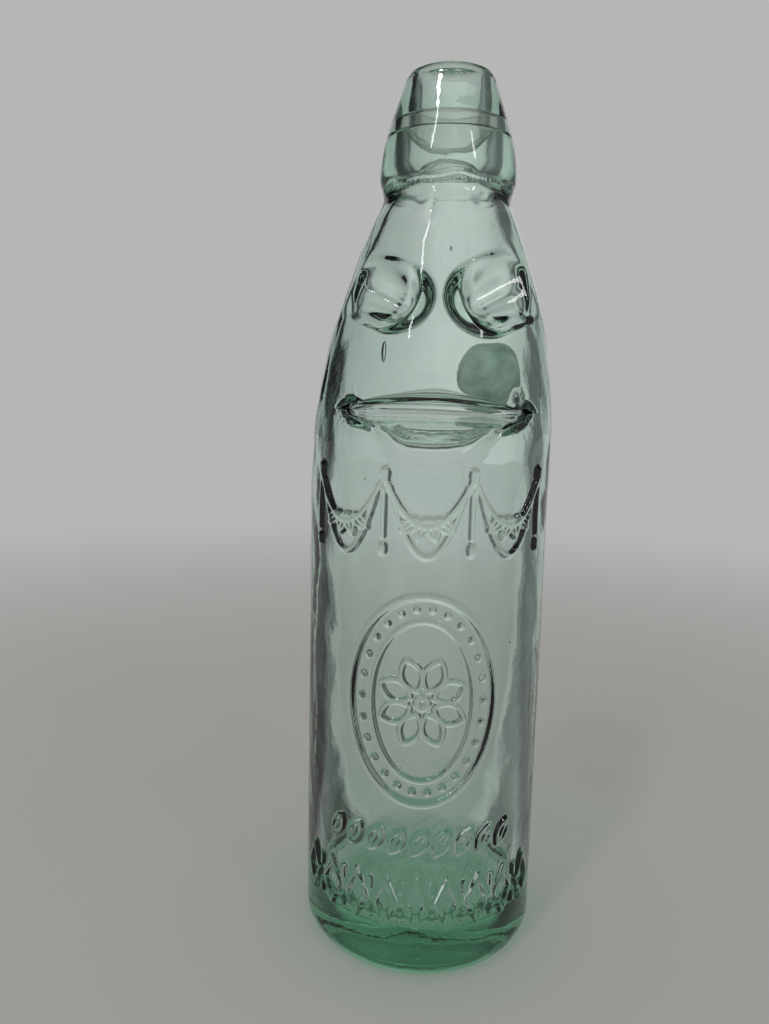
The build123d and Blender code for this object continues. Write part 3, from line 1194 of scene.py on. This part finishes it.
def gum_rubber():
    finish, tree = new_finish("aged_gum_rubber")
    place = node(tree, "ShaderNodeTexCoord").outputs["Object"]
    mottle = cloud_node(tree, place, 420.0, 5.0)
    rubber = node(tree, "ShaderNodeBsdfPrincipled")
    rubber.inputs["Transmission Weight"].default_value = RUBBER_CLARITY
    rubber.inputs["IOR"].default_value = RUBBER_IOR
    tones = tone_node(tree, mottle, 0.3, RUBBER_DARK, 0.75, RUBBER_PALE)
    tree.links.new(tones, rubber.inputs["Base Color"])
    tree.links.new(ramp_node(tree, mottle, 0.3, 0.8, 0.04, 0.14), rubber.inputs["Roughness"])
    tree.links.new(bump_node(tree, mottle, 0.5, 0.00008), rubber.inputs["Normal"])
    output_node(tree, rubber)
    return finish


def rubber_ring():
    outline = ring_outline()
    count = len(outline)
    points, faces = [], []
    for turn in np.linspace(0.0, 2.0 * math.pi, RING_SIDES, endpoint=False):
        wear = 0.03 * math.sin(3.0 * turn + 1.0) + 0.02 * math.sin(7.0 * turn)
        for radius, height in outline:
            reach = radius + wear * (radius < RING_INNER + RING_CORNER)
            points.append((reach * math.sin(turn) + lean(height), -reach * math.cos(turn), height))
    for side in range(RING_SIDES):
        here, there = side * count, ((side + 1) % RING_SIDES) * count
        for row in range(count):
            above = (row + 1) % count
            faces.append((here + row, there + row, there + above, here + above))
    mesh = bpy.data.meshes.new("rubber_ring")
    mesh.from_pydata((np.array(points) * MM).tolist(), [], faces)
    return add_piece(mesh, gum_rubber())


ring = rubber_ring()
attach(ring, "bottle")
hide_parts("sealing_ring")


# The marble. It is a ball of greener glass, ground round and then scuffed to a satin by years of rattling
# between the ledge and the ears, with small chips and flats.
MARBLE_RADIUS = 8.49
MARBLE_DENTS = 60
DENT_WIDTHS = (0.05, 0.13)
DEEPEST_DENT = 0.07
MARBLE_DARK = (0.34, 0.43, 0.38)
MARBLE_PALE = (0.95, 0.98, 0.95)
MARBLE_CLARITY = 0.3
MARBLE_IOR = 1.5


def scuffed_glass():
    finish, tree = new_finish("scuffed_marble_glass")
    place = node(tree, "ShaderNodeTexCoord").outputs["Object"]
    clouds = cloud_node(tree, place, 170.0, 4.0)
    scratches = cloud_node(tree, place, 1500.0, 6.0)
    ball = node(tree, "ShaderNodeBsdfPrincipled")
    ball.inputs["Transmission Weight"].default_value = MARBLE_CLARITY
    ball.inputs["IOR"].default_value = MARBLE_IOR
    tones = tone_node(tree, clouds, 0.36, MARBLE_DARK, 0.68, MARBLE_PALE)
    tree.links.new(tones, ball.inputs["Base Color"])
    tree.links.new(ramp_node(tree, clouds, 0.3, 0.7, 0.42, 0.6), ball.inputs["Roughness"])
    tree.links.new(bump_node(tree, scratches, 0.4, 0.00006), ball.inputs["Normal"])
    output_node(tree, ball)
    return finish


def dented_reach(directions):
    """How far the ball reaches in each direction, in millimetres. Each dent is a small flat."""
    reach = np.full(len(directions), MARBLE_RADIUS)
    chance = np.random.default_rng(7)
    for _ in range(MARBLE_DENTS):
        centre = chance.normal(size=3)
        centre /= np.linalg.norm(centre)
        cut = math.cos(chance.uniform(*DENT_WIDTHS))
        flat = MARBLE_RADIUS * cut / np.maximum(directions @ centre, 1e-6)
        dent = np.where(directions @ centre > cut, flat, np.inf)
        reach = np.minimum(reach, np.maximum(dent, MARBLE_RADIUS - DEEPEST_DENT))
    return reach


def marble_ball():
    low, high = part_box("glass_marble")
    middle = np.array((low + high) / 2.0)
    shape = bmesh.new()
    bmesh.ops.create_icosphere(shape, subdivisions=6, radius=1.0)
    mesh = bpy.data.meshes.new("marble_ball")
    shape.to_mesh(mesh)
    shape.free()
    directions = np.empty(len(mesh.vertices) * 3)
    mesh.vertices.foreach_get("co", directions)
    directions = directions.reshape(-1, 3)
    points = middle + directions * (dented_reach(directions) * MM)[:, None]
    mesh.vertices.foreach_set("co", points.ravel())
    return add_piece(mesh, scuffed_glass())


marble = marble_ball()
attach(marble, "marble")
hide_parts("glass_marble")
